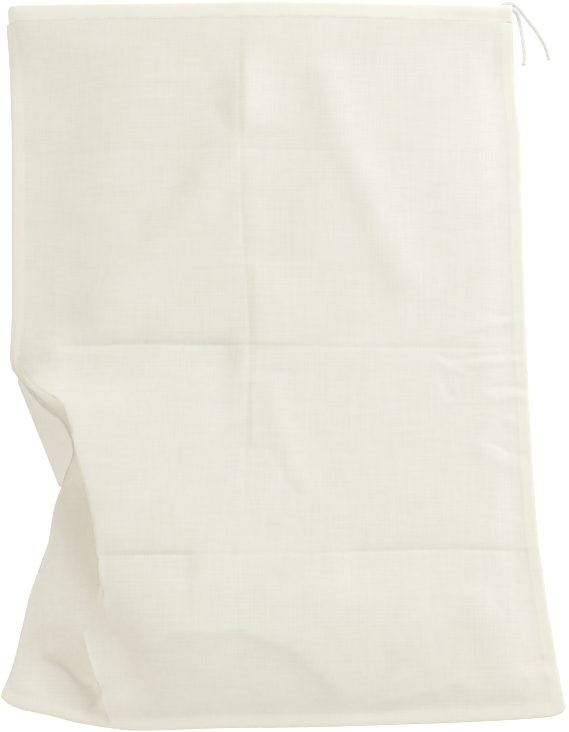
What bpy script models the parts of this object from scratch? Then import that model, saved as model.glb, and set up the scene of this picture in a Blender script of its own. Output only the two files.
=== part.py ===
"""A plain cotton drawstring bag for straining nut milk, lying flat on its back panel.

X runs across the bag, +Y runs from the closed bottom to the mouth, +Z is up. Metres.
"""

import math

import bmesh
import bpy
import numpy as np

# The sewn bag.
WIDTH = 0.307
LENGTH = 0.4315
WALL = 0.001
GAP = 0.0003
LOFT = 0.026
SEAM_ALLOWANCE = 0.008
ALLOWANCE_WALL = 0.001
ALLOWANCE_START = 0.0022
ALLOWANCE_PLAY = 0.0002
SEAM_LIFT = 0.0018

# The casing along the mouth and the cord in it.
CORD_DIAMETER = 0.003
CORD_PLAY = 0.0006
CASING_DEPTH = 0.011
STITCHED_TAIL = 0.002
MOUTH_GAP = 0.006
TURN_ROOM = 0.0005
CORD_STEP = 0.012
BACK_CASING_SHORT = 0.012

CORD_RADIUS = CORD_DIAMETER / 2
CASING_BORE = (CORD_DIAMETER + CORD_PLAY) / 2
CASING_RADIUS = CASING_BORE + WALL
CASING_TAIL = WALL + GAP / 2
TURN_RADIUS = CASING_RADIUS + TURN_ROOM
BACK_LEVEL = WALL / 2
SEAM_LEVEL = WALL + GAP + WALL / 2
FRONT_CASING_LEFT = CASING_RADIUS + 2 * TURN_RADIUS
FRONT_CASING_RIGHT = 3 * CASING_RADIUS + GAP
FRONT_CASING_MIDDLE = 3 * CASING_RADIUS + MOUTH_GAP
PANEL_END = 1 - (CASING_DEPTH + GAP) / LENGTH
ALLOWANCE_DEPTH = WALL / 2 + GAP + ALLOWANCE_PLAY + ALLOWANCE_WALL / 2
ALLOWANCE_STEPS = 2
ALLOWANCE_FIRST_ROW = 3

COTTON = (0.80, 0.78, 0.68)
SEAM_COTTON = (0.85, 0.81, 0.68)
CORD_WHITE = (0.86, 0.86, 0.85)

# Cross-sections of the front panel from the bottom, along = 0, to the mouth. Places across the bag
# are shares of WIDTH from its middle, and heights are shares of LOFT above the seam. The left side
# is buckled: the seam leaves the table, and the panel folds back under a sharp crest.
FRONT_COLUMNS = (
    "along", "seam", "seam_up", "facet", "facet_up", "fold", "fold_up",
    "crest", "crest_up", "left_up", "middle_up", "right_up", "hem_up",
)
FRONT_ROWS = (
    (0.000, -0.494, 0.00, -0.326, 0.00, -0.287, 0.00, -0.244, 0.00, 0.00, 0.00, 0.00, 0.00),
    (0.005, -0.494, 0.00, -0.326, 0.06, -0.287, 0.09, -0.244, 0.09, 0.09, 0.07, 0.06, 0.05),
    (0.020, -0.491, 0.00, -0.335, 0.07, -0.293, 0.18, -0.244, 0.19, 0.18, 0.14, 0.11, 0.07),
    (0.050, -0.481, 0.00, -0.358, 0.08, -0.306, 0.33, -0.251, 0.36, 0.40, 0.33, 0.23, 0.09),
    (0.075, -0.473, 0.00, -0.381, 0.11, -0.321, 0.43, -0.257, 0.51, 0.60, 0.47, 0.29, 0.09),
    (0.100, -0.466, 0.00, -0.391, 0.18, -0.333, 0.51, -0.267, 0.62, 0.76, 0.58, 0.33, 0.09),
    (0.122, -0.461, 0.00, -0.387, 0.26, -0.334, 0.55, -0.280, 0.70, 0.86, 0.65, 0.36, 0.09),
    (0.140, -0.456, 0.00, -0.381, 0.30, -0.319, 0.60, -0.292, 0.80, 0.90, 0.68, 0.38, 0.09),
    (0.167, -0.449, 0.00, -0.375, 0.33, -0.311, 0.68, -0.300, 0.91, 0.94, 0.70, 0.39, 0.09),
    (0.206, -0.432, 0.00, -0.366, 0.35, -0.303, 0.74, -0.310, 0.98, 0.97, 0.70, 0.39, 0.09),
    (0.247, -0.414, 0.00, -0.358, 0.37, -0.301, 0.72, -0.314, 1.00, 0.97, 0.69, 0.37, 0.09),
    (0.287, -0.406, 0.00, -0.355, 0.37, -0.303, 0.70, -0.325, 1.00, 0.94, 0.67, 0.35, 0.09),
    (0.314, -0.394, 0.00, -0.352, 0.38, -0.309, 0.68, -0.335, 1.00, 0.90, 0.65, 0.34, 0.09),
    (0.338, -0.376, 0.39, -0.347, 0.58, -0.318, 0.70, -0.346, 1.00, 0.86, 0.63, 0.33, 0.09),
    (0.361, -0.361, 0.74, -0.342, 0.75, -0.324, 0.72, -0.356, 1.00, 0.82, 0.61, 0.32, 0.09),
    (0.399, -0.381, 0.64, -0.365, 0.71, -0.347, 0.72, -0.370, 0.95, 0.75, 0.58, 0.32, 0.09),
    (0.421, -0.414, 0.43, -0.397, 0.55, -0.380, 0.66, -0.382, 0.87, 0.71, 0.56, 0.32, 0.09),
    (0.447, -0.451, 0.20, -0.444, 0.31, -0.436, 0.43, -0.428, 0.57, 0.66, 0.54, 0.32, 0.09),
    (0.467, -0.481, 0.05, -0.475, 0.13, -0.468, 0.22, -0.461, 0.32, 0.60, 0.53, 0.32, 0.09),
    (0.483, -0.495, 0.01, -0.489, 0.10, -0.480, 0.18, -0.466, 0.27, 0.54, 0.52, 0.32, 0.09),
    (0.500, -0.498, 0.00, -0.490, 0.13, -0.478, 0.22, -0.459, 0.32, 0.51, 0.51, 0.32, 0.09),
    (0.560, -0.497, 0.00, -0.487, 0.12, -0.473, 0.20, -0.451, 0.28, 0.47, 0.51, 0.32, 0.09),
    (0.660, -0.502, 0.00, -0.492, 0.10, -0.480, 0.17, -0.456, 0.23, 0.42, 0.53, 0.32, 0.09),
    (0.800, -0.508, 0.00, -0.498, 0.10, -0.486, 0.16, -0.462, 0.22, 0.41, 0.55, 0.32, 0.09),
    (0.930, -0.518, 0.00, -0.508, 0.12, -0.495, 0.19, -0.475, 0.25, 0.41, 0.51, 0.33, 0.12),
)

# Where the buckle lifts the back panel off the table, the heel is the line where it leaves it.
HEEL_COLUMNS = ("along", "heel")
HEEL_ROWS = (
    (0.310, 0.000),
    (0.338, -0.029),
    (0.361, -0.062),
    (0.399, -0.064),
    (0.421, -0.045),
    (0.447, -0.025),
    (0.467, -0.008),
    (0.485, 0.000),
)

# The right edge, and how far the bottom edge rises towards its corners.
RIGHT_COLUMNS = ("along", "edge")
RIGHT_ROWS = (
    (0.000, 0.553), (0.050, 0.544), (0.100, 0.535), (0.150, 0.526), (0.200, 0.518), (0.260, 0.509),
    (0.330, 0.505), (0.490, 0.499), (0.660, 0.497), (0.800, 0.498), (0.880, 0.490), (1.000, 0.484),
)
BOTTOM_COLUMNS = ("across", "rise")
BOTTOM_ROWS = (
    (-0.494, 0.0395), (-0.480, 0.0310), (-0.456, 0.0240), (-0.414, 0.0181), (-0.340, 0.0055),
    (-0.236, -0.0030), (-0.088, 0.0000), (0.060, 0.0012), (0.210, 0.0040), (0.360, 0.0077),
    (0.495, 0.0128), (0.525, 0.0150), (0.545, 0.0200), (0.553, 0.0270),
)
BOTTOM_REACH = 0.2

LEFT_FIELD = -0.19
MIDDLE_FIELD = 0.0
RIGHT_FIELD = 0.30

# Free ends of the cord: points along each, from where it leaves its casing, in metres.
BACK_END_ROUTE = (
    (0.0018, 0.0000, 0.0000), (0.0044, 0.0014, 0.0010), (0.0066, 0.0034, 0.0024), (0.0092, 0.0049, 0.0034),
    (0.0122, 0.0052, 0.0036), (0.0160, 0.0036, 0.0024), (0.0193, 0.0010, 0.0008),
    (0.0222, -0.0022, -0.0006), (0.0250, -0.0058, -0.0012), (0.0277, -0.0096, -0.0013),
    (0.0302, -0.0136, -0.0013), (0.0325, -0.0178, -0.0013), (0.0342, -0.0220, -0.0013),
    (0.0353, -0.0262, -0.0013), (0.0359, -0.0295, -0.0013),
)
FRONT_END_ROUTE = (
    (0.0018, 0.0000, 0.0000), (0.0034, -0.0008, -0.0010), (0.0048, -0.0027, -0.0026), (0.0058, -0.0050, -0.0043),
    (0.0066, -0.0077, -0.0058), (0.0073, -0.0107, -0.0068), (0.0079, -0.0141, -0.0070),
    (0.0083, -0.0178, -0.0071), (0.0087, -0.0216, -0.0071), (0.0089, -0.0254, -0.0071),
    (0.0088, -0.0290, -0.0071), (0.0084, -0.0330, -0.0071),
)


def table(columns, rows):
    """The rows of a table as one array for each named column."""
    return {name: np.array([row[i] for row in rows]) for i, name in enumerate(columns)}


def slopes_of(places, values):
    """Slopes for a curve through the values that never overshoots them."""
    steps = np.diff(places)
    rises = np.diff(values) / steps
    slopes = np.zeros(len(values))
    slopes[0], slopes[-1] = rises[0], rises[-1]
    for i in range(1, len(values) - 1):
        if rises[i - 1] * rises[i] > 0:
            before = 2 * steps[i] + steps[i - 1]
            after = steps[i] + 2 * steps[i - 1]
            slopes[i] = (before + after) / (before / rises[i - 1] + after / rises[i])
    return slopes


def follow(places, values, at):
    """The value at a place, on a smooth curve through a table's rows."""
    at = min(max(at, places[0]), places[-1])
    i = min(int(np.searchsorted(places, at, side="right")) - 1, len(places) - 2)
    step = places[i + 1] - places[i]
    share = (at - places[i]) / step
    slopes = slopes_of(places, values)
    return hermite(values[i], values[i + 1], slopes[i] * step, slopes[i + 1] * step, share)


def hermite(start, end, start_slope, end_slope, share):
    """A cubic from start to end with the given slopes, at a share of its length."""
    return (
        start * (1 + 2 * share) * (1 - share) ** 2
        + end * share * share * (3 - 2 * share)
        + start_slope * share * (1 - share) ** 2
        + end_slope * share * share * (share - 1)
    )


FRONT = table(FRONT_COLUMNS, FRONT_ROWS)
HEEL = table(HEEL_COLUMNS, HEEL_ROWS)
RIGHT = table(RIGHT_COLUMNS, RIGHT_ROWS)
BOTTOM = table(BOTTOM_COLUMNS, BOTTOM_ROWS)


def at_mouth(column):
    """The front panel's last section, which meets the casing at its height."""
    rise = {
        "facet_up": 0.55 * FRONT_CASING_LEFT,
        "fold_up": 0.90 * FRONT_CASING_LEFT,
        "crest_up": FRONT_CASING_LEFT,
        "left_up": 0.35 * FRONT_CASING_LEFT + 0.65 * FRONT_CASING_MIDDLE,
        "middle_up": FRONT_CASING_MIDDLE,
        "right_up": 0.6 * FRONT_CASING_RIGHT + 0.4 * FRONT_CASING_MIDDLE,
        "hem_up": FRONT_CASING_RIGHT,
    }
    across = {"seam": -0.5220, "facet": -0.5165, "fold": -0.5090, "crest": -0.4960, "seam_up": 0.0}
    if column in across:
        return across[column]
    return (rise[column] - SEAM_LEVEL) / LOFT


def front_value(column, along):
    """One column of the front panel's sections, with its last section at the mouth."""
    places = np.append(FRONT["along"], 1.0)
    values = np.append(FRONT[column], at_mouth(column))
    return follow(places, values, along)


def bottom_rise(across, along):
    """How far a point moves towards the mouth, because the bottom edge curves up to its corners."""
    fade = max(0.0, 1 - along / BOTTOM_REACH) ** 2
    return follow(BOTTOM["across"], BOTTOM["rise"], across) * fade * LENGTH


def right_edge(along):
    return follow(RIGHT["along"], RIGHT["edge"], along)


def front_points(along):
    """The named points of one cross-section of the front panel, as (x, z) in metres."""
    value = {column: front_value(column, along) for column in FRONT_COLUMNS[1:]}
    edge = right_edge(along)
    lift = SEAM_LIFT * max(0.0, 1 - value["seam_up"] / 0.2) * min(1.0, along / 0.005)
    seam = (value["seam"] * WIDTH, SEAM_LEVEL + value["seam_up"] * LOFT)
    points = [seam]
    points.append((seam[0] + 2 * WALL, seam[1] + lift))
    for name in ("facet", "fold", "crest"):
        points.append((value[name] * WIDTH, SEAM_LEVEL + value[name + "_up"] * LOFT))
    for place, name in ((LEFT_FIELD, "left_up"), (MIDDLE_FIELD, "middle_up"), (RIGHT_FIELD, "right_up")):
        points.append((place * WIDTH, SEAM_LEVEL + value[name] * LOFT))
    hem = edge * WIDTH - SEAM_ALLOWANCE - 2 * WALL
    points.append((hem, SEAM_LEVEL + value["hem_up"] * LOFT))
    points.append((edge * WIDTH - 2 * WALL, SEAM_LEVEL + lift_at_right(value["hem_up"])))
    points.append((edge * WIDTH, SEAM_LEVEL))
    return np.array(points)


def lift_at_right(hem_up):
    """The panel's rise just inside the right seam, which clears the seam allowance under it."""
    return min(SEAM_LIFT, hem_up * LOFT) + max(0.0, hem_up * LOFT - 2 * SEAM_LIFT) * 0.5


def section_curve(points, crisp):
    """A smooth curve through the points of a section, with corners where crisp is near one."""
    chords = np.linalg.norm(np.diff(points, axis=0), axis=1)
    chords = np.maximum(chords, 1e-6)
    runs = np.diff(points, axis=0) / chords[:, None]
    slopes = np.empty_like(points)
    slopes[0], slopes[-1] = runs[0], runs[-1]
    for i in range(1, len(points) - 1):
        both = chords[i - 1] + chords[i]
        slopes[i] = (chords[i] * runs[i - 1] + chords[i - 1] * runs[i]) / both
    slopes *= 1 - np.asarray(crisp)[:, None]

    def at(station):
        i = min(int(station), len(points) - 2)
        before = min(chords[i], 2 * chords[max(i - 1, 0)])
        after = min(chords[i], 2 * chords[min(i + 1, len(chords) - 1)])
        return hermite(points[i], points[i + 1], slopes[i] * before, slopes[i + 1] * after, station - i)

    return at


FOLD_STATION = 3
CREST_STATION = 4
BUCKLE_TOP = 0.483


def front_section(along):
    """The curve of the front panel across the bag at one place along it."""
    buckled = min(1.0, max(0.0, (BUCKLE_TOP - along) / 0.03)) * min(1.0, along / 0.01)
    crisp = np.zeros(11)
    crisp[FOLD_STATION] = 0.35 * buckled
    crisp[CREST_STATION] = 0.75 * buckled * min(1.0, max(0.2, (along - 0.09) / 0.05))
    return section_curve(front_points(along), crisp)


def place(x, z, along):
    """A point of a section as a point of the bag."""
    return np.array((x, along * LENGTH + bottom_rise(x / WIDTH, along), z))


def back_section(along):
    """The curve of the back panel: flat on the table, and up to the seam where that is buckled."""
    seam_x, seam_z = front_points(along)[0]
    heel = seam_x + follow(HEEL["along"], HEEL["heel"], along) * WIDTH
    lifted = min(1.0, (seam_z - SEAM_LEVEL) / (4 * WALL))
    edge = (seam_x - lifted * WALL, seam_z - (WALL + GAP) * (1 + 0.1 * lifted))
    wall = (heel * 0.5 + edge[0] * 0.5 + 2 * WALL * (1 - lifted), (edge[1] + BACK_LEVEL) / 2)
    foot = (heel + 4 * WALL * (1 - lifted), BACK_LEVEL)
    floor = (heel + 10 * WALL, BACK_LEVEL)
    right = right_edge(along) * WIDTH
    points = [edge, wall, foot, floor, (0.0, BACK_LEVEL), (right - 6 * WALL, BACK_LEVEL), (right, BACK_LEVEL)]
    return section_curve(np.array(points), [0, 0, 1, 1, 1, 1, 1])


def stations(counts):
    """Places along a section, with the given number of steps in each of its spans."""
    found = [i + step / count for i, count in enumerate(counts) for step in range(count)]
    return found + [float(len(counts))]


def rows_along():
    """Places along the bag, close together where the buckle and the bottom seam need it."""
    first = ALLOWANCE_START / LENGTH
    second = SEAM_ALLOWANCE / LENGTH
    bands = (
        (0.0, first, 1), (first, second, 1), (second, 0.2, 9), (0.2, 0.5, 22), (0.5, 0.93, 6),
        (0.93, PANEL_END, 2),
    )
    found = []
    for start, end, count in bands:
        found += [start + (end - start) * step / count for step in range(count)]
    return found + [PANEL_END]


def material(name, colour, roughness):
    made = bpy.data.materials.new(name)
    made.use_nodes = True
    shader = made.node_tree.nodes["Principled BSDF"]
    shader.inputs["Base Color"].default_value = (*colour, 1)
    shader.inputs["Roughness"].default_value = roughness
    shader.inputs["Metallic"].default_value = 0
    return made


def add_object(name, data, finish):
    made = bpy.data.objects.new(name, data)
    data.materials.append(finish)
    bpy.context.scene.collection.objects.link(made)
    return made


def grid_mesh(name, rows):
    """A sheet through rows of points, facing up where its first edge is on the left."""
    mesh = bpy.data.meshes.new(name)
    sheet = bmesh.new()
    made = [[sheet.verts.new(tuple(point)) for point in row] for row in rows]
    for low, high in zip(made, made[1:]):
        for i in range(len(low) - 1):
            sheet.faces.new((low[i], low[i + 1], high[i + 1], high[i]))
    sheet.to_mesh(mesh)
    sheet.free()
    mesh.shade_smooth()
    return mesh


def cloth(name, rows, thickness, finish):
    """A sheet of cloth with its thickness on both sides of the rows of points."""
    made = add_object(name, grid_mesh(name, rows), finish)
    wall = made.modifiers.new("cloth thickness", "SOLIDIFY")
    wall.thickness = thickness
    wall.offset = 0
    wall.use_even_offset = False
    wall.use_rim = True
    return made


def panel_rows(section_at, across):
    """Rows of points over a panel, each at the given stations of its section."""
    rows = []
    for along in rows_along():
        section = section_at(along)
        rows.append([place(*section(station), along) for station in across])
    return np.array(rows)


FRONT_STEPS = (1, 3, 3, 3, 3, 4, 4, 4, 2, 1)
BACK_STEPS = (2, 2, 1, 3, 3, 1)


def front_panel(finish):
    return cloth("front_panel", panel_rows(front_section, stations(FRONT_STEPS)), WALL, finish)


def back_panel(finish):
    return cloth("back_panel", panel_rows(back_section, stations(BACK_STEPS)), WALL, finish)


def under(rows, depth):
    """The rows of points moved to a depth under the sheet that they span."""
    across = np.gradient(rows, axis=1)
    upward = np.gradient(rows, axis=0)
    normals = np.cross(across, upward)
    normals /= np.linalg.norm(normals, axis=2)[:, :, None]
    return rows - normals * depth


def from_edge(row, distance):
    """The point of a row that lies this far from its first point."""
    lengths = np.concatenate(([0], np.cumsum(np.linalg.norm(np.diff(row, axis=0), axis=1))))
    return [np.interp(distance, lengths, row[:, axis]) for axis in range(3)]


def side_allowance(name, from_right, finish):
    """The strip of both panels that is turned in along a side seam, under the front panel."""
    rows = panel_rows(front_section, stations(FRONT_STEPS))
    if from_right:
        rows = rows[:, ::-1]
    distances = np.linspace(ALLOWANCE_START, SEAM_ALLOWANCE, ALLOWANCE_STEPS + 1)
    strip = np.array([[from_edge(row, distance) for distance in distances] for row in rows])
    if from_right:
        strip = strip[:, ::-1]
    lowered = under(strip, ALLOWANCE_DEPTH)
    return cloth(name, lowered[ALLOWANCE_FIRST_ROW:], ALLOWANCE_WALL, finish)


def bottom_allowance(finish):
    """The strip that is turned in along the bottom seam."""
    rows = panel_rows(front_section, stations(FRONT_STEPS))
    lowered = under(rows, ALLOWANCE_DEPTH)
    return cloth("bottom_seam_allowance", lowered[1:3, 2:-2], ALLOWANCE_WALL, finish)


def casing_outline(radius, tail_depth, tail_height, sides=8):
    """A folded sleeve's outline as (depth from the mouth, height): round fold, thin stitched side."""
    points = []
    for step in range(sides + 1):
        angle = math.pi / 2 + math.pi * step / sides
        points.append((CASING_RADIUS + radius * math.cos(angle), radius * math.sin(angle)))
    points.append((tail_depth, -tail_height))
    points.append((tail_depth, tail_height))
    return points


def swept_casing(name, path, leans, finish):
    """A casing along (x, z) points from its turn. A leaning one drops its stitched side to the table."""
    outer = casing_outline(CASING_RADIUS, CASING_DEPTH, CASING_TAIL)
    inner = casing_outline(CASING_BORE, CASING_DEPTH - STITCHED_TAIL, GAP / 2)
    drop = (CASING_RADIUS - CASING_TAIL) * leans
    path = np.array(path)
    runs = np.gradient(path, axis=0)
    runs[0] = (0, 1 if path[1][1] > path[0][1] else -1)
    sleeve = bmesh.new()
    rings = []
    for (x, z), (run_x, run_z) in zip(path, runs):
        size = math.hypot(run_x, run_z)
        normal = (-run_z / size, run_x / size)
        ring = []
        for outline in (outer, inner):
            made = []
            for depth, height in outline:
                lean = drop * max(0.0, depth - CASING_RADIUS) / (CASING_DEPTH - CASING_RADIUS)
                off = height - lean * normal[1]
                made.append(
                    sleeve.verts.new((x + normal[0] * off, LENGTH - depth, z + normal[1] * off))
                )
            ring.append(made)
        rings.append(ring)
    count = len(outer)
    for first, second in zip(rings, rings[1:]):
        for shell in (0, 1):
            for i in range(count):
                j = (i + 1) % count
                sleeve.faces.new((first[shell][i], first[shell][j], second[shell][j], second[shell][i]))
    for ring in (rings[0], rings[-1]):
        for i in range(count):
            j = (i + 1) % count
            sleeve.faces.new((ring[0][i], ring[0][j], ring[1][j], ring[1][i]))
    bmesh.ops.recalc_face_normals(sleeve, faces=sleeve.faces)
    mesh = bpy.data.meshes.new(name)
    sleeve.to_mesh(mesh)
    sleeve.free()
    mesh.shade_smooth()
    mesh.set_sharp_from_angle(angle=math.radians(50))
    return add_object(name, mesh, finish)


def casing_height(x):
    """The height of the front casing's middle line, which is that of the panel's top edge."""
    section = front_section(1.0)
    places = np.linspace(CREST_STATION, 8, 161)
    points = np.array([section(station) for station in places])
    return float(np.interp(x, points[:, 0], points[:, 1]))


MOUTH_LEFT = at_mouth("seam") * WIDTH
MOUTH_RIGHT = RIGHT["edge"][-1] * WIDTH
TURN_X = MOUTH_LEFT + CASING_RADIUS + TURN_RADIUS
TURN_Z = CASING_RADIUS + TURN_RADIUS
TURN_STEPS = 5


def quarter_turn(start, end, steps):
    """Points of the casing's turn round the left side seam, between two angles in degrees."""
    found = []
    for step in range(steps + 1):
        angle = math.radians(start + (end - start) * step / steps)
        found.append((TURN_X + TURN_RADIUS * math.cos(angle), TURN_Z + TURN_RADIUS * math.sin(angle)))
    return found


def turn_gap_angle():
    """Half the gap between the two casings' faces at the side seam, in degrees of their turn."""
    return math.degrees(GAP / 2 / TURN_RADIUS)


def casing_run(last, count, height):
    """Points of a casing's straight run, from its turn to the right."""
    start = TURN_X + TURN_RADIUS / 2
    found = []
    for step in range(count + 1):
        x = start + (last - start) * step / count
        found.append((x, height(x)))
    return found


FRONT_CASING_STEPS = 16
BACK_CASING_STEPS = 5


def back_casing_height(x):
    return CASING_RADIUS


def front_casing(finish):
    run = casing_run(MOUTH_RIGHT, FRONT_CASING_STEPS, casing_height)
    path = quarter_turn(180 - turn_gap_angle(), 90, TURN_STEPS) + run
    return swept_casing("front_casing", path, 0, finish)


def back_casing(finish):
    run = casing_run(BACK_LAST, BACK_CASING_STEPS, back_casing_height)
    path = quarter_turn(180 + turn_gap_angle(), 270, TURN_STEPS) + run
    return swept_casing("back_casing", path, 1, finish)


def tube(name, points, finish):
    """A cord through the points, with flat cut ends."""
    curve = bpy.data.curves.new(name, "CURVE")
    curve.dimensions = "3D"
    curve.bevel_depth = CORD_RADIUS
    curve.bevel_resolution = 2
    curve.use_fill_caps = True
    spline = curve.splines.new("POLY")
    spline.points.add(len(points) - 1)
    for point, (x, y, z) in zip(spline.points, points):
        point.co = (x, y, z, 1)
    return add_object(name, curve, finish)


def smooth_route(points, step):
    """Points a step apart on a smooth curve through a route's own points."""
    points = np.array(points)
    curve = section_curve(points, np.zeros(len(points)))
    fine = np.array([curve(station) for station in np.linspace(0, len(points) - 1, 40 * len(points))])
    lengths = np.concatenate(([0], np.cumsum(np.linalg.norm(np.diff(fine, axis=0), axis=1))))
    count = max(4, round(lengths[-1] / step))
    places = np.linspace(0, lengths[-1], count + 1)
    return np.column_stack([np.interp(places, lengths, fine[:, axis]) for axis in range(3)])


CORD_Y = LENGTH - CASING_RADIUS
CORD_INSET = 0.001
BACK_LAST = MOUTH_RIGHT - BACK_CASING_SHORT


def along_casing(path, last):
    """Points of the cord on the straight run of a casing, a step apart, up to where it ends."""
    run = np.array(path)
    start = TURN_X + TURN_RADIUS / 2
    count = round((last - start) / CORD_STEP)
    places = np.linspace(start, last, count + 1)
    return [(x, CORD_Y, float(np.interp(x, run[:, 0], run[:, 1]))) for x in places]


def drawcord(finish):
    """The cord inside the casings: along the front, round the left side seam and along the back."""
    front = along_casing(casing_run(MOUTH_RIGHT, FRONT_CASING_STEPS, casing_height), MOUTH_RIGHT - CORD_INSET)
    turn = [(x, CORD_Y, z) for x, z in quarter_turn(90, 270, 2 * TURN_STEPS)]
    back = along_casing(casing_run(BACK_LAST, BACK_CASING_STEPS, back_casing_height), BACK_LAST - CORD_INSET)
    return tube("drawcord", front[::-1] + turn + back, finish)


def cord_end(name, last, height, route, finish):
    """A free end of the cord, from just inside its casing to its cut tip on the table."""
    start = np.array((last - CORD_INSET + GAP, CORD_Y, height))
    points = [start] + [start + np.array(offset) for offset in route]
    return tube(name, smooth_route(points, 2 * CORD_RADIUS), finish)


def stand_on_origin(pieces, left_out):
    """Moves the bag so that the middle of its underside is the origin."""
    corners = []
    for piece in pieces:
        if piece.name in left_out or piece.type != "MESH":
            continue
        depsgraph = bpy.context.evaluated_depsgraph_get()
        evaluated = piece.evaluated_get(depsgraph)
        corners += [piece.matrix_world @ vertex.co for vertex in evaluated.to_mesh().vertices]
        evaluated.to_mesh_clear()
    corners = np.array(corners)
    low, high = corners.min(axis=0), corners.max(axis=0)
    for piece in pieces:
        piece.location.x -= (low[0] + high[0]) / 2
        piece.location.y -= (low[1] + high[1]) / 2
        piece.location.z -= low[2]


for old in list(bpy.data.objects):
    bpy.data.objects.remove(old, do_unlink=True)

muslin = material("cotton_muslin", COTTON, 0.9)
folded_muslin = material("folded_muslin", SEAM_COTTON, 0.9)
cord_cotton = material("cotton_cord", CORD_WHITE, 0.8)

bag = [
    front_panel(muslin),
    back_panel(muslin),
    front_casing(folded_muslin),
    back_casing(folded_muslin),
    side_allowance("left_seam_allowance", False, folded_muslin),
    side_allowance("right_seam_allowance", True, folded_muslin),
    bottom_allowance(folded_muslin),
    drawcord(cord_cotton),
    cord_end("cord_end_front", MOUTH_RIGHT, FRONT_CASING_RIGHT, FRONT_END_ROUTE, cord_cotton),
    cord_end("cord_end_back", BACK_LAST, CASING_RADIUS, BACK_END_ROUTE, cord_cotton),
]
stand_on_origin(bag, ("cord_end_front", "cord_end_back"))
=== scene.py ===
"""A plain cotton drawstring bag for straining nut milk, lying flat on its back on a pale table.

X runs across the bag, +Y runs from the closed bottom to the mouth, +Z is up. Metres.
"""

import math

import bmesh
import bpy
import numpy as np
from mathutils import Matrix, Vector, noise


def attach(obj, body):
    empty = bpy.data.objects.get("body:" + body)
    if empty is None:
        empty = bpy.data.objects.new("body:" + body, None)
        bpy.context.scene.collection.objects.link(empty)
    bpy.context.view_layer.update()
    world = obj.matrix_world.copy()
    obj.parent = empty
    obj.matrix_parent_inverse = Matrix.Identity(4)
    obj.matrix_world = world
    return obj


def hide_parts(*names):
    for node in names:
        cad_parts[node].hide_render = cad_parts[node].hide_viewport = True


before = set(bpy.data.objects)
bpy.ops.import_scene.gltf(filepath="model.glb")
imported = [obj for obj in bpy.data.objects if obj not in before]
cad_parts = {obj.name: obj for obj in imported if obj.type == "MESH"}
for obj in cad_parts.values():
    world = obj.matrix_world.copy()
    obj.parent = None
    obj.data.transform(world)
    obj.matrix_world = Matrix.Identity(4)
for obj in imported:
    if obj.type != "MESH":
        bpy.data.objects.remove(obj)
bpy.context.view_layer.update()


# The front panel is one piece of unbleached cotton muslin. It lies over the back panel with a little
# air between them. On its left the side seam is buckled inwards, so that the cloth stands in a sharp
# crest with a folded facet under it. It was sold folded, and the package creases still show.
WIDTH = 0.307
LENGTH = 0.4315
BAG_X = -0.004903
BAG_Y = -0.214929
LOFT = 0.026
SEAM_LEVEL = 0.0018
SEAM_LIFT = 0.0018
SEAM_ALLOWANCE = 0.008
CLOTH = 0.0007
CASING_RADIUS = 0.0028
CASING_DEPTH = 0.011
TURN_RADIUS = 0.0033
CASING_LAP = 0.0006
PANEL_END = 1 - (CASING_DEPTH - CASING_LAP) / LENGTH
FRONT_CASING_LEFT = CASING_RADIUS + 2 * TURN_RADIUS
FRONT_CASING_RIGHT = 3 * CASING_RADIUS + 0.0003
FRONT_CASING_MIDDLE = 3 * CASING_RADIUS + 0.006

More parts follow.
